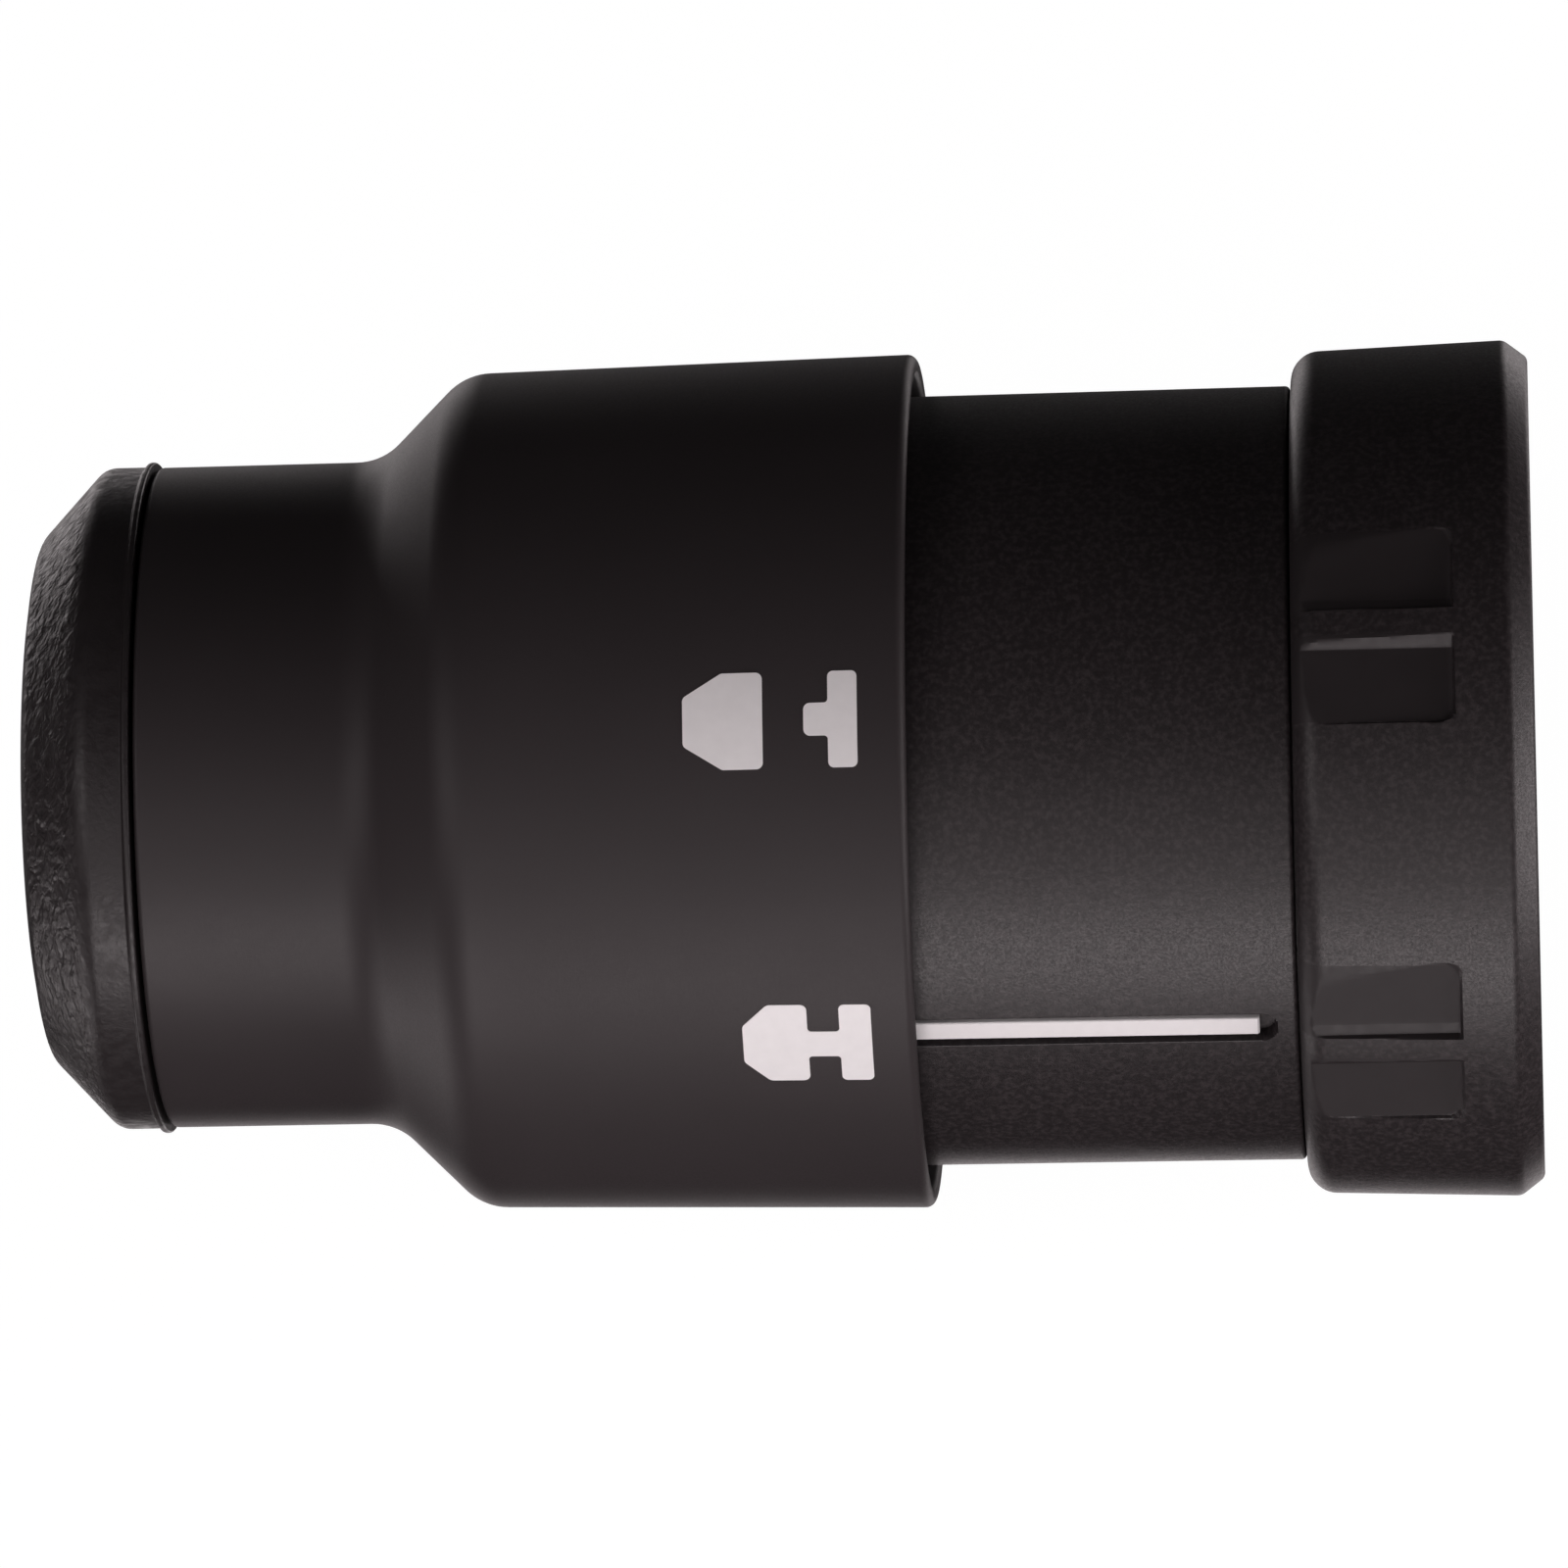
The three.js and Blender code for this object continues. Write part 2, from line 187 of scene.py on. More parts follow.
def turned(name, profile, angles=WHOLE_TURN, carve=None, sharp=35):
    """A closed (r, s) profile turned round the axis. carve(r, s, phi) gives the radius to use at a point."""
    bm = bmesh.new()
    rings = []
    for phi in angles:
        points = [(carve(r, s, phi) if carve else r, s) for r, s in profile]
        rings.append([bm.verts.new(polar(r, s, phi)) for r, s in points])
    skin(bm, rings, closed=True)
    return piece(name, bm, sharp)


def swept(name, centres, section):
    """A section of (outward, along the axis) offsets carried through centres, each an (r, s, phi)."""
    bm = bmesh.new()
    skin(bm, [
        [bm.verts.new(polar(r + out, s + along, phi)) for out, along in section] for r, s, phi in centres
    ])
    return piece(name, bm)


def circle(radius, count=16):
    angles = [math.tau * k / count for k in range(count)]
    return [(radius * math.cos(a), radius * math.sin(a)) for a in angles]


def strip(half, tall, fillet):
    """The section of a strip, half thick each way from its middle and tall each way along the axis."""
    return rounded((-half, -tall, fillet), (half, -tall, fillet), (half, tall, fillet), (-half, tall, fillet))


def subdivided(points, step, outside=0):
    """The closed (r, s) outline with extra points: beyond r = outside, neighbours are at most step apart."""
    finer = []
    for i, here in enumerate(points):
        there = points[(i + 1) % len(points)]
        count = math.ceil(math.dist(here, there) / step) if min(here[0], there[0]) > outside else 1
        finer += [tuple(Vector(here).lerp(Vector(there), k / count)) for k in range(count)]
    return finer


def cut(obj, cutters):
    """Takes the cutters out of obj and removes them."""
    for cutter in cutters:
        modifier = obj.modifiers.new("cut", "BOOLEAN")
        modifier.object = cutter
        modifier.solver = "EXACT"
    bpy.context.view_layer.update()
    evaluated = obj.evaluated_get(bpy.context.evaluated_depsgraph_get())
    mesh = bpy.data.meshes.new_from_object(evaluated)
    obj.modifiers.clear()
    obj.data = mesh
    for cutter in cutters:
        bpy.data.objects.remove(cutter)
    return obj


def radial_cutter(outline, r0, r1, s, phi):
    """A prism that points away from the axis. Its outline is (along the axis, across), centred on s."""
    outward, across = directions(phi)
    bm = bmesh.new()
    skin(bm, [
        [bm.verts.new((Vector((-s - a, 0, 0)) + across * b + outward * r) * MM) for a, b in outline]
        for r in (r0, r1)
    ])
    return piece("cutter", bm)


def ball(name, node):
    """A polished ball with even quads all round, in the place of a CAD ball."""
    low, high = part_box(node)
    bm = bmesh.new()
    bmesh.ops.create_cube(bm, size=1)
    bmesh.ops.subdivide_edges(bm, edges=bm.edges, cuts=15, use_grid_fill=True)
    radius = (high - low).x / 2
    for vert in bm.verts:
        vert.co = (low + high) / 2 + vert.co.normalized() * radius
    return piece(name, bm)


def finish_piece(obj, node, body, slot, material):
    """Puts a piece on its body, in the place of its CAD node, with its material."""
    obj.data.materials.append(material)
    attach(obj, body)
    if node:
        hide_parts(node)


# ---------------------------------------------------------------- materials


class Surface:
    """A Principled material, with short names for the nodes that its texture is built from."""

    def __init__(self, name, roughness, metallic=0.0, specular=0.5):
        self.material = bpy.data.materials.new(name)
        self.material.use_nodes = True
        self.tree = self.material.node_tree
        self.shader = self.tree.nodes["Principled BSDF"]
        self.shader.inputs["Roughness"].default_value = roughness
        self.shader.inputs["Metallic"].default_value = metallic
        self.shader.inputs["Specular IOR Level"].default_value = specular
        self.place = self.node("ShaderNodeTexCoord").outputs["Object"]
        self.normal = None

    def node(self, kind, inputs=None, **settings):
        made = self.tree.nodes.new(kind)
        for key, value in settings.items():
            setattr(made, key, value)
        for key, value in (inputs or {}).items():
            if isinstance(value, bpy.types.NodeSocket):
                self.tree.links.new(value, made.inputs[key])
            else:
                made.inputs[key].default_value = value
        return made

    def noise(self, size, detail=2.0, stretch=(1, 1, 1), distortion=0.0):
        """Noise whose grains are about size millimetres across, stretched along x, y and z."""
        scale = tuple(1 / (size * MM * k) for k in stretch)
        at = self.node("ShaderNodeMapping", {"Vector": self.place, "Scale": scale}).outputs["Vector"]
        inputs = {"Vector": at, "Scale": 1.0, "Detail": detail, "Distortion": distortion}
        return self.node("ShaderNodeTexNoise", inputs).outputs["Fac"]

    def between(self, value, low, high, to_low=0.0, to_high=1.0):
        """A smooth step from to_low to to_high as value goes from low to high."""
        inputs = {"Value": value, "From Min": low, "From Max": high, "To Min": to_low, "To Max": to_high}
        return self.node("ShaderNodeMapRange", inputs, interpolation_type="SMOOTHSTEP").outputs["Result"]

    def along(self, low, high, to_low=0.0, to_high=1.0):
        """A value that goes from to_low at s = low to to_high at s = high."""
        x = self.node("ShaderNodeSeparateXYZ", {"Vector": self.place}).outputs["X"]
        if low > high:
            return self.between(x, -low * MM, -high * MM, to_low, to_high)
        return self.between(x, -high * MM, -low * MM, to_high, to_low)

    def times(self, a, b):
        return self.node("ShaderNodeMath", {0: a, 1: b}, operation="MULTIPLY").outputs["Value"]

    def plus(self, a, b):
        return self.node("ShaderNodeMath", {0: a, 1: b}, operation="ADD").outputs["Value"]

    def colour(self, share, first, second):
        """Base colour between two colours."""
        mix = self.node("ShaderNodeMix", data_type="RGBA")
        self.tree.links.new(share, mix.inputs[0])
        mix.inputs[6].default_value = (*first, 1)
        mix.inputs[7].default_value = (*second, 1)
        self.tree.links.new(mix.outputs[2], self.shader.inputs["Base Color"])

    def roughness(self, value):
        self.tree.links.new(value, self.shader.inputs["Roughness"])

    def bump(self, height, depth):
        """Adds relief depth millimetres deep. Each call is laid over the one before."""
        inputs = {"Height": height, "Distance": depth * MM, "Strength": 1.0}
        if self.normal:
            inputs["Normal"] = self.normal
        self.normal = self.node("ShaderNodeBump", inputs).outputs["Normal"]
        self.tree.links.new(self.normal, self.shader.inputs["Normal"])


def satin_plastic():
    """Smooth black nylon with a faint mould texture, rubbed a little where the fingers pull."""
    m = Surface("satin_black_nylon", 0.5, specular=0.32)
    m.colour(m.noise(9, 3), (0.0295, 0.0246, 0.0260), (0.0355, 0.0297, 0.0314))
    grain = m.noise(0.11, 2)
    rubbed = m.along(51, 57, 0.0, -0.05)
    patches = m.times(m.noise(3.5, 4), 0.06)
    m.roughness(m.plus(m.plus(m.between(grain, 0.3, 0.7, 0.47, 0.55), patches), rubbed))
    m.bump(m.noise(4, 2), 0.010)
    m.bump(grain, 0.003)
    return m.material


def grained_plastic():
    """Black nylon from a spark-eroded mould: a dense fine grain with small bright flecks."""
    m = Surface("grained_black_nylon", 0.5, specular=0.42)
    grain = m.noise(0.13, 3)
    flecks = m.between(m.noise(0.3, 5), 0.38, 0.74)
    m.colour(flecks, (0.0165, 0.0132, 0.0142), (0.0375, 0.0310, 0.0328))
    m.roughness(m.between(grain, 0.3, 0.7, 0.52, 0.38))
    m.bump(m.noise(0.34, 4), 0.012)
    m.bump(grain, 0.008)
    return m.material


def recess_plastic():
    """The same nylon where the mould was milled smooth, in the grips and inside the rim."""
    m = Surface("smooth_black_nylon", 0.5, specular=0.32)
    m.colour(m.noise(2, 3), (0.0215, 0.0178, 0.0188), (0.0265, 0.0221, 0.0234))
    m.roughness(m.between(m.noise(0.5, 4), 0.3, 0.7, 0.46, 0.54))
    m.bump(m.noise(0.3, 3), 0.003)
    return m.material


def rubber():
    """Moulded rubber with a fine grain, and leathery slanted creases on the chamfer."""
    m = Surface("black_moulded_rubber", 0.5, specular=0.42)
    m.colour(m.noise(2.5, 4), (0.0170, 0.0140, 0.0148), (0.0250, 0.0205, 0.0216))
    chamfer = m.times(m.along(75.0, 76.0), m.along(78.75, 78.2))
    folds = m.noise(0.85, 2, stretch=(0.7, 1.0, 1.6), distortion=0.5)
    creases = m.noise(0.42, 2, stretch=(0.9, 1.0, 1.6), distortion=0.5)
    m.roughness(m.between(m.noise(0.6, 3), 0.3, 0.7, 0.36, 0.52))
    m.bump(m.times(folds, chamfer), 0.24)
    m.bump(m.times(creases, chamfer), 0.09)
    m.bump(m.noise(0.28, 3), 0.022)
    return m.material


def white_plastic():
    """White plastic or thick print, a little uneven, as moulded."""
    m = Surface("white_moulded_plastic", 0.42, specular=0.4)
    m.colour(m.noise(0.7, 3), (0.88, 0.865, 0.872), (0.95, 0.935, 0.942))
    m.roughness(m.between(m.noise(0.25, 2), 0.3, 0.7, 0.36, 0.5))
    m.bump(m.noise(0.3, 2), 0.006)
    return m.material


def turned_steel():
    """Hardened steel with fine tool marks round the axis and a film of oil."""
    m = Surface("hardened_steel", 0.32, metallic=1.0)
    marks = m.noise(0.12, 2, stretch=(1, 80, 80))
    m.colour(m.noise(6, 2), (0.165, 0.165, 0.17), (0.205, 0.20, 0.20))
    m.roughness(m.between(m.noise(4, 2), 0.3, 0.75, 0.27, 0.35))
    m.bump(marks, 0.0015)
    return m.material


def ball_steel():
    """Polished ball steel with faint scuffs."""
    m = Surface("polished_ball_steel", 0.1, metallic=1.0)
    scuffs = m.noise(0.8, 6)
    m.colour(scuffs, (0.50, 0.51, 0.53), (0.62, 0.63, 0.64))
    m.roughness(m.between(scuffs, 0.4, 0.8, 0.07, 0.2))
    m.bump(m.noise(0.2, 2), 0.0006)
    return m.material


def spring_steel():
    """Drawn wire and stamped spring strip, greyish with a little heat tint."""
    m = Surface("spring_steel", 0.3, metallic=1.0)
    m.colour(m.noise(1.8, 3), (0.22, 0.215, 0.21), (0.32, 0.31, 0.30))
    m.roughness(m.between(m.noise(0.4, 3), 0.3, 0.7, 0.25, 0.4))
    m.bump(m.noise(0.6, 2), 0.0012)
    return m.material


MATERIALS = {
    "satin_plastic": satin_plastic(),
    "grained_plastic": grained_plastic(),
    "rubber": rubber(),
    "white_plastic": white_plastic(),
    "steel": turned_steel(),
    "ball_steel": ball_steel(),
    "spring_steel": spring_steel(),
}


# ---------------------------------------------------------------- the bit end


def dust_cap():
    """Rubber cap: a proud lip at the rear, a broad chamfer, and a funnel that wipes the shank."""
    chamfer = 3.2
    mouth, barb = 5.15, 9.1
    profile = rounded(
        (CAP_LIP, CAP_REAR, 0.12),
        (CAP_LIP, CAP_REAR + 0.3, 0.14),
        (CAP_RADIUS, CAP_REAR + 0.42, 0.1),
        (CAP_RADIUS, CAP_FRONT - chamfer - 0.5, 1.1),
        (13.9, CAP_FRONT - 0.35, 1.4),
        (12.0, CAP_FRONT, 1.2),
        (6.9, CAP_FRONT, 0.8),
        (mouth, CAP_FRONT - 1.1, 0.5),
        (mouth, HOLDER_FRONT + 0.3, 0.1),
        (9.8, HOLDER_FRONT + 0.3, 0.3),
        (9.8, 75.75, 0.2),
        (barb, 75.25, 0.2),
        (barb, 74.65, 0.2),
        (9.8, 74.2, 0.2),
        (12.5, 74.1, 0.2),
        (12.5, CAP_REAR, 0.2),
    )
    return turned("dust_cap_rubber", profile)


def chuck_cover():
    """Pull-back cover: nose, concave neck, sloping shoulder and a skirt that widens slightly to its rim."""
    profile = rounded(
        (COVER_RIM, COVER_REAR, 0.55),
        (SHOULDER_RADIUS, SHOULDER, 3.1),
        (NOSE_RADIUS, 60.45, 3.4),
        (NOSE_RADIUS - 0.04, COVER_FRONT, 0.28),
        (9.8, COVER_FRONT, 0.2),
        (9.8, 69.9, 0.2),
        (13.6, 69.9, 0.5),
        (13.6, 59.3, 0.2),
        (15.9, 59.3, 0.2),
        (15.9, 55.6, 0.4),
        (20.5, 54.4, 1.0),
        (21.15, 52.5, 0.6),
        (21.45, COVER_REAR, 0.3),
        step=5,
    )
    return turned("chuck_cover_shell", profile)


def cover_radius(s):
    """Radius of the cover's skirt."""
    return COVER_RIM + (SHOULDER_RADIUS - COVER_RIM) * (s - COVER_REAR) / (SHOULDER - COVER_REAR)


def mark(name, phi, outlines):
    """Raised shapes wrapped on the cover's skirt. Each outline is (s, across), with across going up."""
    proud, sunk = 0.035, 0.3
    slice_width, slices_each_way = 0.35, 8  # narrow enough to follow the skirt
    bm = bmesh.new()
    for outline in outlines:
        top = [bm.verts.new((s, a, proud)) for s, a in outline]
        foot = [bm.verts.new((s, a, -sunk)) for s, a in outline]
        bm.faces.new(top)
        bm.faces.new(list(reversed(foot)))
        for k in range(len(outline)):
            m = (k + 1) % len(outline)
            bm.faces.new((top[k], foot[k], foot[m], top[m]))
    for k in range(-slices_each_way, slices_each_way + 1):
        everything = bm.verts[:] + bm.edges[:] + bm.faces[:]
        bmesh.ops.bisect_plane(bm, geom=everything, plane_co=(0, k * slice_width, 0), plane_no=(0, 1, 0))
    for vert in bm.verts:
        s, a, h = vert.co
        radius = cover_radius(s)
        vert.co = polar(radius + h, s, phi + math.degrees(a / radius))
    return piece(name, bm)


def chuck_half(rear, width, tip, flat, slope):
    """The chuck's outline in a pictogram: flat at the rear, sloping in to a flat tip towards the nose."""
    corners = ((rear, -width), (rear, width), (slope, width), (tip, flat), (tip, -flat), (slope, -width))
    return rounded(*[(s, across, 0.35) for s, across in corners])


def unlocked_mark():
    """Chuck and spindle apart."""
    rear, step, front, half, stem = 34.55, 36.05, 37.3, 2.5, 0.85
    spindle = rounded(
        (rear, -half, 0.3), (step, -half, 0.3), (step, -stem, 0.2), (front, -stem, 0.35),
        (front, stem, 0.35), (step, stem, 0.2), (step, half, 0.3), (rear, half, 0.3),
    )
    chuck = chuck_half(rear=39.4, width=2.5, tip=43.5, flat=1.25, slope=41.5)
    return mark("unlocked_pictogram", UNLOCKED_PHI, [chuck, spindle])


def locked_mark():
    """Chuck and spindle joined."""
    rear, step, chuck, slope, tip = 34.35, 36.0, 37.65, 39.7, 41.0
    half, stem, flat = 2.45, 0.8, 1.15
    joined = rounded(
        (rear, -half, 0.3), (step, -half, 0.3), (step, -stem, 0.2), (chuck, -stem, 0.2), (chuck, -half, 0.35),
        (slope, -half, 0.4), (tip, -flat, 0.4), (tip, flat, 0.4), (slope, half, 0.4), (chuck, half, 0.35),
        (chuck, stem, 0.2), (step, stem, 0.2), (step, half, 0.3), (rear, half, 0.3),
    )
    return mark("locked_pictogram", LOCKED_PHI, [joined])


def locking_ring():
    return turned("locking_ring_steel", rounded(
        (10.65, 55.8, 0.2), (15.5, 55.8, 0.3), (15.5, 58.9, 0.3), (11.5, 58.9, 0.2), (10.65, 58.1, 0.3)))


def guide_washer():
    return turned("guide_washer_steel", rounded(
        (9.85, 54.3, 0.15), (13, 54.02, 0.3), (15.5, 54.02, 0.15), (15.5, 55.4, 0.15), (9.85, 55.4, 0.15)))


def conical_spring():
    """Conical coil whose ends close down and lie flat on their washers."""
    wire, turns, steps = 0.8, 6, 60
    rear_radius, front_radius = 13.9, 11.6
    flatness = 0.45  # how far the end turns close down, of 1
    rear, front = SPRING_REAR + wire, SPRING_FRONT - wire
    centres = []
    for k in range(turns * steps + 1):
        t = k / (turns * steps)
        climb = t - math.sin(math.tau * t) / math.tau * flatness
        r = rear_radius + (front_radius - rear_radius) * t
        centres.append((r, rear + (front - rear) * climb, 360 * turns * t))
    return swept("conical_spring_wire", centres, circle(wire))


def open_ring(name, node, inner, gap_phi, gap):
    """Snap ring with a gap, from strip with rounded edges."""
    rear, front, outer = extent(node)
    half, tall = (outer - inner) / 2, (front - rear) / 2
    start, steps = gap_phi + gap / 2, 120
    centres = [
        (inner + half, (rear + front) / 2, start + (360 - gap) * k / steps) for k in range(steps + 1)
    ]
    return swept(name, centres, strip(half, tall, 0.15))


# ---------------------------------------------------------------- the holder


def tool_holder():
    """Steel body with its splined socket, ball windows and ball seats, turned and then cut."""
    sleeve, snap_groove = 14.6, 13.7
    flange_rear, flange_front = 27.4, 30
    profile = rounded(
        (SOCKET, HOLDER_REAR, 0.5),
        (sleeve, HOLDER_REAR, 0.4),
        (sleeve, 1.15), (snap_groove, 1.15), (snap_groove, 2.35), (sleeve, 2.35),
        (sleeve, flange_rear, 0.5),
        (HOLDER_FLANGE, flange_rear, 0.3),
        (HOLDER_FLANGE, flange_front, 0.3),
        (BARREL, flange_front, 0.6),
        (BARREL, 72.5), (8.8, 72.5), (8.8, 73.75), (BARREL, 73.75),
        (BARREL, 74.15, 0.1), (8.75, 74.3, 0.2), (8.75, 75.6, 0.2), (BARREL, 75.7, 0.1),
        (BARREL, HOLDER_FRONT, 0.25),
        (BIT_BORE + 0.8, HOLDER_FRONT, 0.2),
        (BIT_BORE, HOLDER_FRONT - 0.9, 0.3),
        (BIT_BORE, SOCKET_FLOOR, 0.2),
        (SOCKET, SOCKET_FLOOR, 0.4),
        (SOCKET, 24.6), (12.6, 24.6), (12.6, 23), (SOCKET, 23),
    )
    body = turned("tool_holder_steel", subdivided(profile, 4))
    long, half, middle = 10.5, 1.6, 10.5
    spline = [(-long, -half), (long, -half), (long, half), (-long, half)]
    cutters = [radial_cutter(spline, SOCKET - 1.5, 12.9, middle, 60 * k) for k in range(6)]
    window = rounded((-6.15, -3.65, 3.6), (3.7, -3.65, 3.6), (3.7, 3.65, 3.6), (-6.15, 3.65, 3.6))
    ball_s = extent("bit_ball_upper")[0] + BIT_BALL
    cutters += [radial_cutter(window, 6.9, 12, ball_s, phi) for phi in (90, 270)]
    seat = circle(LOCK_BALL + 0.15, 32)
    seat_s = extent("lock_ball_1")[0] + LOCK_BALL
    cutters += [radial_cutter(seat, SOCKET - 1, 17, seat_s, phi) for phi in (30, 150, 270)]
    return cut(body, cutters)


def drive_key(index, phi):
    """One of the two keys that turn the shank, with its front edge sloped for a bit to find its slot."""
    half, inner, outer, slope = 1.45, 3.55, BIT_BORE + 0.4, 0.9
    rear, slope_rear, front = 34, 54.8, 56
    outline = rounded((-half, inner, 0.2), (half, inner, 0.2), (half, outer), (-half, outer))
    outward, across = directions(phi)
    bm = bmesh.new()
    skin(bm, [
        [bm.verts.new((Vector((-s, 0, 0)) + across * a + outward * max(r, least)) * MM) for a, r in outline]
        for s, least in ((rear, inner), (slope_rear, inner), (front, inner + slope))
    ])
    return piece(f"drive_key_{index}", bm)


def stop_pin():
    """Dowel pin with eased ends, pointing out of the holder."""
    low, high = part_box("stop_pin")
    s = -(low.x + high.x) / 2 / MM
    phi, radius, foot, top, ease, steps = 210, 1, 12.9, 18.1, 0.3, 32
    outward, across = directions(phi)
    outline = rounded((0, foot), (radius, foot, ease), (radius, top, ease), (0, top))
    bm = bmesh.new()
    loops = []
    for k in range(steps):
        a = math.tau * k / steps
        aside = Vector((-math.cos(a), 0, 0)) + across * math.sin(a)
        loops.append([bm.verts.new((Vector((-s, 0, 0)) + aside * q + outward * r) * MM) for q, r in outline])
    for near, far in zip(loops, loops[1:] + loops[:1]):
        for k in range(len(outline) - 1):
            bm.faces.new((near[k], near[k + 1], far[k + 1], far[k]))
    bmesh.ops.remove_doubles(bm, verts=bm.verts, dist=1e-7)
    return piece("stop_pin_steel", bm)


# ---------------------------------------------------------------- the quick-change end


def index_sleeve():
    """Grained tube with a round-ended groove for the white line."""
    half, floor = 0.85, SLEEVE_RADIUS - 0.86
    groove_rear, wall = 13.6, 0.05  # the groove's walls lean by wall each way
    spigot_front = 12.5
    profile = rounded(
        (SLEEVE_BORE, SLEEVE_REAR, 0.1), (SPIGOT, SLEEVE_REAR, 0.1), (SPIGOT, spigot_front, 0.05),
        (SLEEVE_RADIUS - 0.05, spigot_front, 0.25), (SLEEVE_RADIUS - 0.21, SLEEVE_FRONT, 0.5),
        (SLEEVE_BORE, SLEEVE_FRONT, 0.2),
        step=18,
    )

    def carve(r, s, phi):
        across = math.radians((phi + 180) % 360 - 180) * SLEEVE_RADIUS
        behind = max(0, groove_rear + half - s)
        inside = half - math.hypot(across, behind)
        if r < SPIGOT + 0.1 or s < groove_rear - 0.3 or inside < -wall:
            return r
        return r - (r - floor) * min(1, (inside + wall) / (2 * wall))

    near = [-3 + 0.08 * k for k in range(76)]  # close together over the groove
    angles = near + [3.2 + 353.6 * k / 170 for k in range(171)]
    profile = subdivided(profile, 0.1, outside=SPIGOT + 0.3)
    return turned("index_sleeve_tube", profile, angles, carve)


def index_line():
    """White strip in the groove, with eased edges. It follows the sleeve's taper just below the surface."""
    half, thickness, below = 0.56, 0.5, 0.14
    taper, taper_rear = 0.0063, 13
    section = rounded((-thickness, -half, 0.05), (0, -half, 0.12), (0, half, 0.12), (-thickness, half, 0.05))
    bm = bmesh.new()
    ends = []
    for s, ease in ((LINE_REAR, 0.1), (LINE_REAR + 0.1, 0), (LINE_FRONT, 0)):
        top = SLEEVE_RADIUS - below - taper * (s - taper_rear) - ease
        ends.append([bm.verts.new(Vector((-s, -(top + h), a)) * MM) for h, a in section])
    skin(bm, ends)
    return piece("index_line_strip", bm)


def change_ring():
    """Hand ring. Each rib stands between two flat recesses that are open towards the nose."""
    ribs = (0, 60, 180, 240)
    rim, web, bore = 18.6, 14.9, SPIGOT + 0.3
    web_rear, web_front = 2.6, 4.4
    half_rib, reach, recess_rear = 1.65, 13.6, 4.05  # the first two in degrees
    profile = rounded(
        (rim, RING_REAR, 0.3), (RING_RADIUS - 0.95, RING_REAR, 0.5), (RING_RADIUS, 1.25, 0.7),
        (RING_RADIUS - 0.36, RING_FRONT - 0.9, 1.45), (RING_RADIUS - 1.2, RING_FRONT, 1.45),
        (bore, RING_FRONT, 0.3), (bore, web_front),
        (web, web_front), (web, web_rear, 0.2), (rim, web_rear, 0.2),
        step=9,
    )
    # (degrees from the middle of the rib, radius), above a rib and below it
    upper = (
        (half_rib, RING_RADIUS), (half_rib + 0.4, 21.97), (3.5, 21.85),
        (reach, RING_RADIUS - 0.16), (reach + 0.5, RING_RADIUS),
    )
    lower = (
        (half_rib, RING_RADIUS), (half_rib + 1.75, 21.8),
        (reach, RING_RADIUS - 0.35), (reach + 0.3, RING_RADIUS),
    )

    def beside(phi):
        """Degrees from the middle of the nearest rib, more than zero above it."""
        return min(((phi - rib + 180) % 360 - 180 for rib in ribs), key=abs)

    def floor_radius(away):
        """Radius of the recess, whose faces are flat between its corners."""
        outline = upper if away > 0 else lower
        away = abs(away)
        for (a, ra), (b, rb) in zip(outline, outline[1:]):
            if a <= away <= b:
                before, after = math.radians(away - a), math.radians(b - away)
                return ra * rb * math.sin(before + after) / (ra * math.sin(before) + rb * math.sin(after))
        return RING_RADIUS

    def carve(r, s, phi):
        """The recess, with a steep rear wall and a rounded far corner."""
        if r < bore + 0.5 or s < recess_rear:
            return r
        over = min(1, max(0, abs(beside(phi)) - reach + 1.8) / 1.8)
        corner = 0.6 * (1 - math.sqrt(1 - over * over))
        wall = min(1, max(0, s - recess_rear - corner) / 0.12)
        return min(r, r + (floor_radius(beside(phi)) - r) * wall)

    steps = [0, 0.8, 1.4, 1.64, 1.7, 1.85, 2.04, 2.2, 2.6, 3.0, 3.35, 3.45, 3.6, 4.2]
    steps += [5 + k for k in range(8)] + [12.4, 12.8, 13.2, 13.4, 13.5, 13.6, 13.75, 13.9, 14.1, 14.2]
    angles = {rib + side * away for rib in ribs for side in (-1, 1) for away in steps}
    angles |= {k * 2 for k in range(180) if abs(beside(k * 2)) > 14.3}
    angles = sorted({round(a, 3) % 360 for a in angles})
    profile = subdivided(profile, 0.15, outside=RING_RADIUS - 0.5)
    ring = turned("change_ring_shell", profile, angles, carve, sharp=30)
    for face in ring.data.polygons:
        x, y, z = face.center / MM
        r, away = math.hypot(y, z), abs(beside(math.degrees(math.atan2(z, -y))))
        in_grip = r > bore + 0.5 and -x > recess_rear + 0.12 and half_rib < away < reach - 0.2
        if in_grip or r < rim + 0.1:
            face.material_index = 1
    return ring


def cam_ring():
    """Steel cam with three ramps inside and the slot of the stop pin."""
    rear, front, radius = extent("cam_ring")
    bore, pocket = 15.95, 17.4
    turn, rest, fall = 45, 7, 4  # degrees of the rising ramp, of the pocket after it and of the way back
    ramp_start = 30

    def inner(phi):
        along = (ramp_start - phi) % 120
        if along > turn + rest + fall:
            return bore
        if along > turn + rest:
            return pocket - (pocket - bore) * (along - turn - rest) / fall
        return bore + (pocket - bore) * min(1, along / turn)

    profile = rounded((bore, rear, 0.2), (radius, rear, 0.3), (radius, front, 0.3), (bore, front, 0.2))

    def carve(r, s, phi):
        if r > (bore + radius) / 2:
            return r
        return r + inner(phi) - bore

    ring = turned("cam_ring_steel", profile, range(360), carve)
    slot = ((14, 12.6), (20, 12.6), (20, 16), (14, 16))
    bm = bmesh.new()
    skin(bm, [[bm.verts.new(polar(r, s, phi)) for r, s in slot] for phi in range(160, 216, 5)])
    return cut(ring, [piece("cutter", bm)])


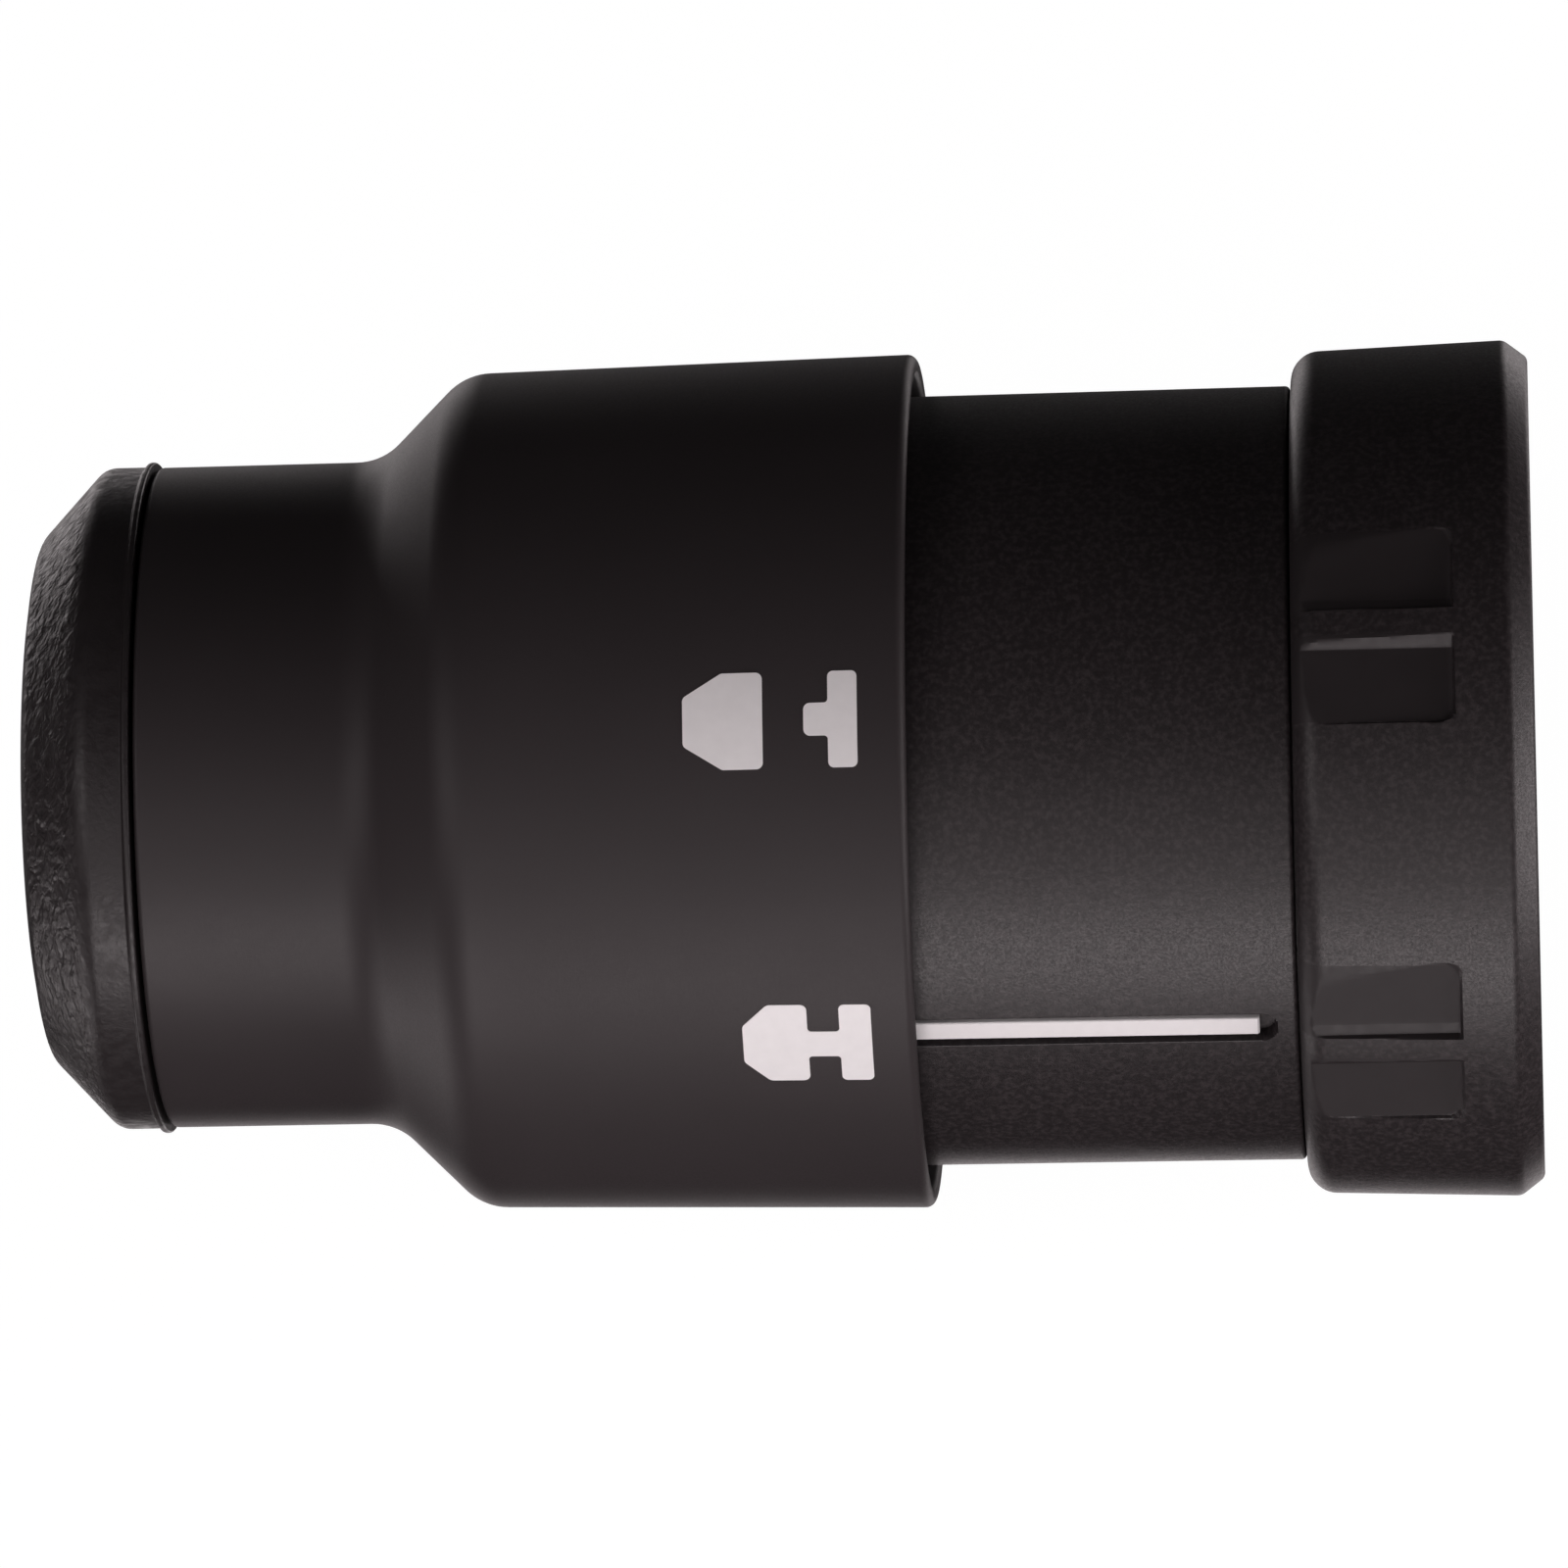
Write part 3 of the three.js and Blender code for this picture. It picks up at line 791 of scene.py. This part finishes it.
def click_spring():
    """Leaf spring that follows the ring, with a nose in its middle."""
    rear, front, radius = extent("click_spring")
    half_thickness, half_turn, half_nose, steps = 0.3, 75, 9, 120  # the two middle ones in degrees
    back, tip = radius - half_thickness, 14.85 + half_thickness
    centres = []
    for k in range(-steps, steps + 1):
        offset = half_turn * k / steps
        dip = max(0.0, 1 - abs(offset) / half_nose)
        centres.append((back - (back - tip) * dip * dip * (3 - 2 * dip), (rear + front) / 2, 180 + offset))
    return swept("click_spring_strip", centres, strip(half_thickness, (front - rear) / 2, 0.1))


def thrust_washer():
    return turned("thrust_washer_steel", rounded(
        (14.95, 4.75, 0.15), (18.4, 4.75, 0.15), (18.4, 5.65, 0.15), (14.95, 5.65, 0.15)))


def spring_seat_washer():
    return turned("spring_seat_washer_steel", rounded(
        (9.85, 30.3, 0.12), (16.4, 30.3, 0.12), (16.4, 31, 0.12), (9.85, 31, 0.12)))


def socket_o_ring():
    r, s = 11.85, 23.8
    return turned("socket_o_ring_rubber", [(r + out, s + along) for out, along in circle(0.6, 24)])


# ---------------------------------------------------------------- assembly

PIECES = [
    (dust_cap(), "dust_cap", "holder", "rubber"),
    (open_ring("ring_spring_strip", "ring_spring", 9.1, 0, 24), "ring_spring", "holder", "spring_steel"),
    (chuck_cover(), "chuck_cover", "cover", "satin_plastic"),
    (unlocked_mark(), None, "cover", "white_plastic"),
    (locked_mark(), None, "cover", "white_plastic"),
    (locking_ring(), "locking_ring", "cover", "steel"),
    (guide_washer(), "guide_washer", "cover", "steel"),
    (conical_spring(), "conical_spring", "holder", "spring_steel"),
    (spring_seat_washer(), "spring_seat_washer", "holder", "steel"),
    (ball("bit_ball_upper_steel", "bit_ball_upper"), "bit_ball_upper", "upper_bit_ball", "ball_steel"),
    (ball("bit_ball_lower_steel", "bit_ball_lower"), "bit_ball_lower", "lower_bit_ball", "ball_steel"),
    (tool_holder(), "tool_holder", "holder", "steel"),
    (drive_key(1, 0), None, "holder", "steel"),
    (drive_key(2, 180), None, "holder", "steel"),
    (index_sleeve(), "index_sleeve", "collar", "grained_plastic"),
    (index_line(), "index_line", "collar", "white_plastic"),
    (change_ring(), "change_ring", "collar", "grained_plastic"),
    (cam_ring(), "cam_ring", "collar", "steel"),
    (click_spring(), "click_spring", "collar", "spring_steel"),
    (stop_pin(), "stop_pin", "holder", "steel"),
    (thrust_washer(), "thrust_washer", "holder", "steel"),
    (open_ring("snap_ring_strip", "snap_ring", 13.95, 300, 30), "snap_ring", "holder", "spring_steel"),
    (socket_o_ring(), "socket_o_ring", "holder", "rubber"),
]
PIECES += [
    (ball(f"lock_ball_{i}_steel", f"lock_ball_{i}"), f"lock_ball_{i}", f"spindle_ball_{i}", "ball_steel")
    for i in (1, 2, 3)
]
for obj, node, body, slot in PIECES:
    finish_piece(obj, node, body, slot, MATERIALS[slot])
bpy.data.objects["change_ring_shell"].data.materials.append(recess_plastic())  # index 1, set face by face

spring = bpy.data.objects["conical_spring_wire"]
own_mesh(spring)


# ---------------------------------------------------------------- floor, light and camera


def floor():
    """Pale table that curves up all round like a paper sweep. It glows evenly, with a faint shadow on it."""
    low, _ = cad_box
    foot = low[2] - 0.0002
    profile = ((0.01, 0), (1.2, 0), (1.35, 0.04), (1.46, 0.15), (1.5, 0.3), (1.5, 1.6))  # (radius, height)
    turns = 64
    verts = []
    for k in range(turns):
        a = math.tau * k / turns
        verts += [(r * math.cos(a), r * math.sin(a), foot + up) for r, up in profile]
    width = len(profile)
    faces = [tuple(k * width for k in range(turns))]
    for k in range(turns):
        here, there = k * width, (k + 1) % turns * width
        faces += [(here + i, here + i + 1, there + i + 1, there + i) for i in range(width - 1)]
    mesh = bpy.data.meshes.new("floor")
    mesh.from_pydata(verts, [], faces)
    obj = bpy.data.objects.new("floor", mesh)
    bpy.context.scene.collection.objects.link(obj)
    m = Surface("pale_table", 0.9, specular=0.0)
    m.colour(m.noise(60, 2), (0.10, 0.10, 0.10), (0.11, 0.11, 0.11))
    m.shader.inputs["Emission Color"].default_value = (1, 1, 1, 1)
    m.shader.inputs["Emission Strength"].default_value = 0.985
    obj.data.materials.append(m.material)
    obj.visible_shadow = False  # the soft box in front reaches below the table's edge
    obj.visible_glossy = False
    obj.visible_diffuse = False


def soft_light(name, azimuth, elevation, height, radiance, target, width=0.5, distance=0.7):
    """A slightly warm soft box that faces the target. Azimuth 0 is in front and 90 on the machine's side."""
    warm = (1.0, 0.924, 0.934)
    az, el = math.radians(azimuth), math.radians(elevation)
    away = Vector((math.sin(az) * math.cos(el), -math.cos(az) * math.cos(el), math.sin(el)))
    data = bpy.data.lights.new(name, "AREA")
    data.shape = "RECTANGLE"
    data.size, data.size_y = width, height
    data.energy = radiance * math.pi * width * height  # an area light gives off pi times its radiance
    data.color = warm
    obj = bpy.data.objects.new(name, data)
    obj.location = target + away * distance
    obj.rotation_euler = (-away).to_track_quat("-Z", "Y").to_euler()
    obj.visible_camera = False
    bpy.context.scene.collection.objects.link(obj)


def camera(target):
    """Long lens, 40 degrees above the table and level with the chuck's rear face, turned to dip its nose."""
    data = bpy.data.cameras.new("camera")
    data.sensor_width = 36
    data.lens = 292.7
    data.clip_end = 20
    data.dof.use_dof = False
    obj = bpy.data.objects.new("camera", data)
    distance, elevation, dip = 0.672, math.radians(40), math.radians(1.27)
    obj.location = (0, -distance * math.cos(elevation), distance * math.sin(elevation))
    back = (obj.location - target).normalized()
    right = (Vector((1, 0, 0)) - back * back.x).normalized()
    level = Matrix((right, back.cross(right), back)).transposed()
    obj.rotation_euler = (level @ Matrix.Rotation(-dip, 3, "Z")).to_euler()
    bpy.context.scene.collection.objects.link(obj)
    bpy.context.scene.camera = obj


def world(level):
    """Faint even light from all round."""
    made = bpy.data.worlds.new("studio")
    made.use_nodes = True
    made.node_tree.nodes["Background"].inputs["Color"].default_value = (level, level, level, 1)
    bpy.context.scene.world = made


middle = Vector((-39.66 * MM, 0, 0))
floor()
camera(middle)
world(0.022)
soft_light("key", azimuth=0, elevation=-14, height=0.34, radiance=4.95, target=middle)
soft_light("fill", azimuth=0, elevation=20, height=0.4, radiance=0.84, target=middle)
soft_light("left", azimuth=-50, elevation=28, height=0.22, radiance=2.4, target=middle)
soft_light("low_left", azimuth=-80, elevation=-35, height=0.22, radiance=2.6, target=middle)
soft_light("right", azimuth=80, elevation=0, height=0.42, radiance=5.0, target=middle)
soft_light("under", azimuth=180, elevation=-55, height=0.22, radiance=2.0, target=middle)
soft_light("back_right", azimuth=150, elevation=-13, height=0.3, radiance=1.6, target=middle)
soft_light("back_left", azimuth=210, elevation=-13, height=0.3, radiance=1.6, target=middle)
bpy.context.scene.view_settings.view_transform = "Standard"
